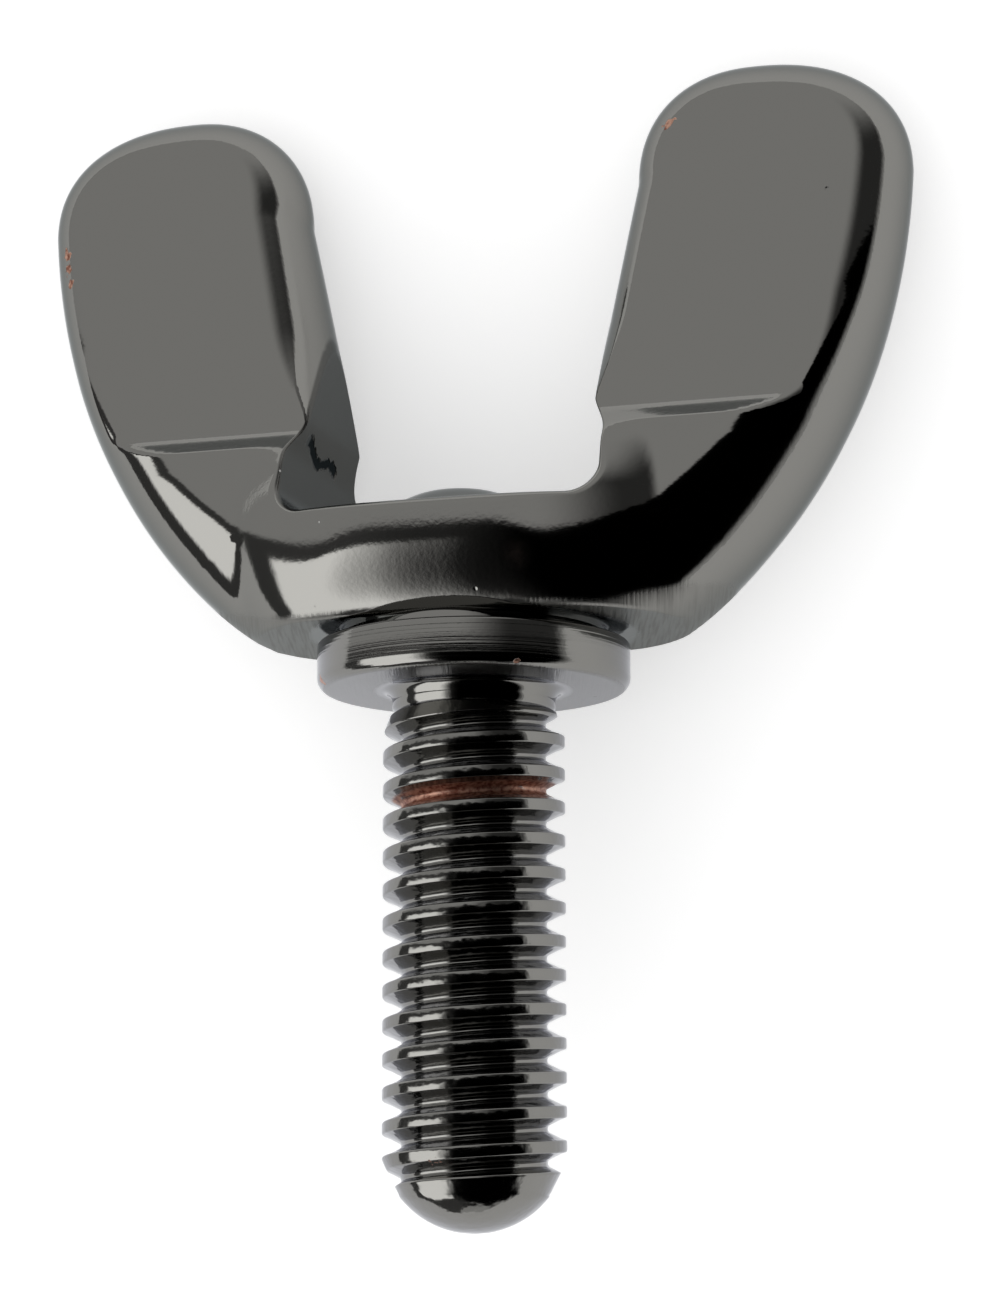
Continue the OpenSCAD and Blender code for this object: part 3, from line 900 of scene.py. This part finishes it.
def head_marks_and_painted_shade(net, spot, height, bare):
    """Grinding under the shoulders, a crease on the left wall of the gap, a copper stain, and
    painted shade that darkens that wall and blackens the crease.
    """
    point, x, y, z, radius = spot
    streaks = ground_streaks(net, x, y)
    shoulder = (z - abs(x) * 0.28).ramp(0.9, 0.5) * abs(x).ramp(13.5, 12.0)
    ground = sum_of("MAXIMUM", z.ramp(2.8, 2.5), shoulder) * radius.ramp(6.6, 7.2)

    # The wall is found by its distance to the trimmed gap's outline, corner and all
    wall = FOOT_HALF - z.ramp(LEAN_START, WAIST_Z) * (FOOT_HALF - WAIST_HALF)
    across = SLOT_ROUND - x - wall
    below = sum_of("MAXIMUM", SADDLE_Z + SLOT_ROUND - z, 0.0)
    from_wall = abs(sum_of("SQRT", across * across + below * below) - SLOT_ROUND)
    on_wall = from_wall.ramp(0.16, 0.08) * x.ramp(-5.5, -5.8)
    wave = sum_of("SINE", y * 1.8) * 0.22 - y * 0.12 + CREASE_Z
    torn = net.noise(point, 2.6, 4.0) * 0.5 - 0.25
    crease = abs(z - wave + torn).ramp(0.26, 0.16) * on_wall * abs(y + 0.5).ramp(2.3, 1.9)
    from_stain = net.measure("DISTANCE", point, STAIN_AT)
    stain = from_stain.ramp(STAIN_R, 0.1) * net.noise(point, 2.0, 3.0) * 0.5

    rough = HEAD_ROUGH + ground * 0.24 + streaks.ramp(0.4, 0.7) * ground * 0.15 + on_wall * 0.16
    height = height + streaks * ground * STREAK_H - crease * CREASE_H
    # Painted shade: the left wall of the gap is darkened to half, and its crease almost to black.
    painted_shade = 1 - sum_of("MAXIMUM", on_wall * 0.5, crease * 0.97)
    return rough, height, sum_of("MAXIMUM", bare, stain), painted_shade


print("streaks", STREAKS_ACROSS, "to a millimetre, crease at height", CREASE_Z)

# %% [markdown]
# ## Marks on the turned parts
# The lathe's lines are noise squeezed flat along the axis: hardly changing round the screw, and
# many to a millimetre up it. The bare groove follows the thread's helix, whose height falls by one
# pitch in a turn, so an angle gives the height at which to look for it.

# %% Marks on the flange and the thread
FLANGE_ROUGH, FACE_ROUGH, LATHE_H = 0.08, 0.2, 0.012
LATHE_SCALE, WEAR_SCALE = (0.03, 0.03, 7.0), (0.8, 0.8, 9.0)
THREAD_ROUGH, WAVE_SCALE, WAVE_H = 0.1, 1.2, 0.035
BARE_GROOVE_Z = THREAD_TOP - THREAD_SHIFT - 2.5 * PITCH  # where it passes the +X side


def flange_marks(net, spot, height, bare):
    """Turning lines round the flange, and straight grinding across its seating face."""
    point, x, y, z, radius = spot
    lines = net.noise(net.vector("MULTIPLY", point, LATHE_SCALE), 1.0, 3.0)
    side = radius.ramp(6.3, 6.5)
    streaks = ground_streaks(net, x, y)
    face = z.ramp(0.12, 0.04) * radius.ramp(3.9, 4.3)
    rough = FLANGE_ROUGH + side * lines.ramp(0.45, 0.65) * 0.08 + face * FACE_ROUGH
    return rough, height + side * lines * LATHE_H + streaks * face * STREAK_H, bare, 1.0


def thread_marks(net, spot, height, bare):
    """One turn of the groove worn bare on the front of the thread."""
    point, x, y, z, radius = spot
    turn = sum_of("ARCTAN2", y, x) * (PITCH / math.tau)
    from_groove = abs(z - turn - BARE_GROOVE_Z)
    streaks = net.noise(net.vector("MULTIPLY", point, WEAR_SCALE), 1.0, 3.0)
    front = (x * to_camera[0] + y * to_camera[1]).ramp(-0.6, 0.3)
    groove = from_groove.ramp(0.36, 0.26) * front * streaks.ramp(0.25, 0.4)
    bare = sum_of("MAXIMUM", bare, groove)
    wavy = net.noise(point, WAVE_SCALE, 2.0) * WAVE_H
    return bare * 0.1 + THREAD_ROUGH, height + wavy + streaks * groove * STREAK_H, bare, 1.0


print("bare groove at height", round(BARE_GROOVE_Z, 2))

# %% [markdown]
# ## Chips, and the finish on each part
# Plate chips first where it was knocked: on the ears' rims and the edges of the flange. Each chip
# is a place in the drawing and a radius, made ragged by noise. The mound is part of the forging
# and takes the head's finish.

# %% Put the finish on
HEAD_CHIPS = (((-18.0, -2.5, 20.1), 0.27), ((-17.85, -2.65, 19.4), 0.3),
              ((-17.8, -2.75, 18.7), 0.22), ((9.4, -2.6, 23.45), 0.3),
              ((16.5, 2.8, 22.0), 0.4), ((-8.0, 2.9, 23.3), 0.3))
FLANGE_CHIPS = (((-5.75, -3.3, 0.15), 0.28), ((3.6, -5.6, 0.1), 0.2), ((-2.0, 6.4, 1.9), 0.3))
SHANK_CHIPS = (((-0.6, -3.7, -20.2), 0.35), ((2.2, 3.0, -12.0), 0.3))

for piece, edge, chips, marks in ((head, FORGED_EDGE, HEAD_CHIPS, head_marks_and_painted_shade),
                                  (flange, TURNED_EDGE, FLANGE_CHIPS, flange_marks),
                                  (thread, TURNED_EDGE, SHANK_CHIPS, thread_marks)):
    piece.data.materials.append(plated(piece.name + "_plate", edge, chips, marks))
mound.data.materials.append(head.data.materials[0])
print("nodes in the head's finish:", len(head.data.materials[0].node_tree.nodes))

# %% [markdown]
# ## The studio
# A mirror finish shows the room, so the room is part of the look: a white table and white walls
# all round, a dark opening behind the camera that reaches higher on the right, and one tall soft
# lamp on the left in front of it. An area lamp before a black cloth could be used, but its borders
# would be sharp. So one curved cloth gives off the light of all three: none in the opening, the
# walls' own at its borders, and the lamp's. The camera doesn't see it and it lights no matt
# surface, so that the table stays evenly white.

# %% Helpers for the studio
def shop_object(name, mesh, material):
    """A stage object, which isn't part of the screw."""
    data = bpy.data.meshes.new(name)
    mesh.to_mesh(data)
    mesh.free()
    data.materials.append(material)
    made = bpy.data.objects.new(name, data)
    bpy.context.scene.collection.objects.link(made)
    return made


def matt(name, grey, gloss):
    """A plain matt material."""
    made = bpy.data.materials.new(name)
    made.use_nodes = True
    shader = made.node_tree.nodes["Principled BSDF"]
    shader.inputs["Base Color"].default_value = (grey, grey, grey, 1)
    shader.inputs["Roughness"].default_value = 1.0
    shader.inputs["Specular IOR Level"].default_value = gloss
    return made


def sight(degrees_right, degrees_up):
    """A direction seen from the screw, counted from the camera: to its right and upwards."""
    right, up = math.radians(degrees_right), math.radians(degrees_up)
    return turned(math.cos(right) * math.cos(up) * to_camera
                  + math.sin(right) * math.cos(up) * view_right + math.sin(up) * view_up)


print("towards the camera:", [round(c, 2) for c in sight(0, 0)])

# %% [markdown]
# ## The cloth that holds the opening and the lamp
# Each border is a smooth step in an angle seen from the screw: turn, to the camera's right; rise,
# upwards for the camera; and height, up the screw's own axis. Height sets the upper borders of
# the opening and the lamp, because every wall along that axis mirrors the same height, so that
# the hub's highlight ends in one clean line.

# %% Shade the cloth
ROOM_IN_MIRROR, LAMP_LEVEL = 0.8, 2.7
CLOTH_AWAY = 1.8
OPENING_LEFT, OPENING_RIGHT, OPENING_TOP = (-116, -109), (74, 64), (11.8, 9.2)
PALE_LEFT, PALE_SHARE = (-20, -50), 0.15  # the opening is a little paler on the left
ABOVE_LEFT, ABOVE_TOP, ABOVE_SHARE = (-16, 30), (74, 36), 0.9  # its reach up to the right
LAMP_LEFT, LAMP_RIGHT = (-92, -86), (-31, -50)
LAMP_TOP, LAMP_LOW = (4, 1.5), (-60, -54)


def shaded_cloth(name, room_level):
    """Cloth with no light in the opening, the room's at its borders, and the lamp's."""
    material = matt(name, 0.0, 0.0)
    net = Net(material.node_tree)
    shader = material.node_tree.nodes["Principled BSDF"]
    coordinates = net.node("ShaderNodeTexCoord", {}, {})
    place = Wire(net, coordinates.outputs["Object"])
    right, up, ahead, on_axis = (
        net.measure("DOT_PRODUCT", place, turned(direction)) / CLOTH_AWAY
        for direction in (view_right, view_up, to_camera, (0, 0, 1)))
    turn = sum_of("ARCTAN2", right, ahead) * math.degrees(1)
    rise = sum_of("ARCSINE", up) * math.degrees(1)
    height = sum_of("ARCSINE", on_axis) * math.degrees(1)

    opening = turn.ramp(*OPENING_LEFT) * turn.ramp(*OPENING_RIGHT) * height.ramp(*OPENING_TOP)
    above = (turn.ramp(*ABOVE_LEFT) * turn.ramp(*OPENING_RIGHT)
             * rise.ramp(*ABOVE_TOP) * ABOVE_SHARE)
    opening = opening * (1 - turn.ramp(*PALE_LEFT) * PALE_SHARE)
    dark = sum_of("MAXIMUM", opening, above)
    lamp = (turn.ramp(*LAMP_LEFT) * turn.ramp(*LAMP_RIGHT)
            * height.ramp(*LAMP_TOP) * rise.ramp(*LAMP_LOW))
    light = net.blend((1 - dark) * (room_level / LAMP_LEVEL) + lamp, BLACK, (1, 1, 1, 1))
    net.feed(shader.inputs["Emission Color"], light)
    shader.inputs["Emission Strength"].default_value = LAMP_LEVEL
    return material


cloth_finish = shaded_cloth("black_cloth", ROOM_IN_MIRROR)
print("nodes in the cloth:", len(cloth_finish.node_tree.nodes))

# %% [markdown]
# ## Table and cloth
# The table is a wide disc that gives off a little light of its own, as paper lit from all sides
# seems to. The cloth is a grid bent round the screw.

# %% Set up the table and the cloth
TABLE_R, TABLE_GLOW = 4.0, 0.4
CLOTH_LEFT, CLOTH_RIGHT, CLOTH_LOW, CLOTH_TOP = -124, 76, -80, 76

table_mesh = bmesh.new()
bmesh.ops.create_circle(table_mesh, cap_ends=True, segments=64, radius=TABLE_R)
table = shop_object("table", table_mesh, matt("white_table", 0.8, 0.2))
glow = table.data.materials[0].node_tree.nodes["Principled BSDF"].inputs
glow["Emission Color"].default_value = (1, 1, 1, 1)
glow["Emission Strength"].default_value = TABLE_GLOW

cloth_mesh = bmesh.new()
bmesh.ops.create_grid(cloth_mesh, x_segments=60, y_segments=16, size=1)
for vertex in cloth_mesh.verts:
    turn = mix(CLOTH_LEFT, CLOTH_RIGHT, (vertex.co.x + 1) / 2)
    vertex.co = CLOTH_AWAY * sight(turn, mix(CLOTH_LOW, CLOTH_TOP, (vertex.co.y + 1) / 2))
cloth = shop_object("dark_opening", cloth_mesh, cloth_finish)
cloth.visible_camera = False
cloth.visible_diffuse = False
print("table", 2 * TABLE_R, "m wide, cloth", CLOTH_AWAY, "m away")

# %% [markdown]
# ## The room's light
# The walls are an even white world. The table needs a little more light than the walls show in
# the mirror finish, so the world is brighter for matt surfaces than for reflections.

# %% White room
ROOM_LEVEL = 1.0
world = bpy.data.worlds.new("white_room")
bpy.context.scene.world = world
world.use_nodes = True
room = Net(world.node_tree)
path = room.node("ShaderNodeLightPath", {}, {})
mirrored = Wire(room, path.outputs["Is Glossy Ray"])
background = world.node_tree.nodes["Background"]
background.inputs["Color"].default_value = (1, 1, 1, 1)
room.feed(background.inputs["Strength"], ROOM_LEVEL - mirrored * (ROOM_LEVEL - ROOM_IN_MIRROR))
bpy.context.scene.view_settings.view_transform = "Standard"
print("room level", ROOM_LEVEL, "and", ROOM_IN_MIRROR, "in reflections")

# %% [markdown]
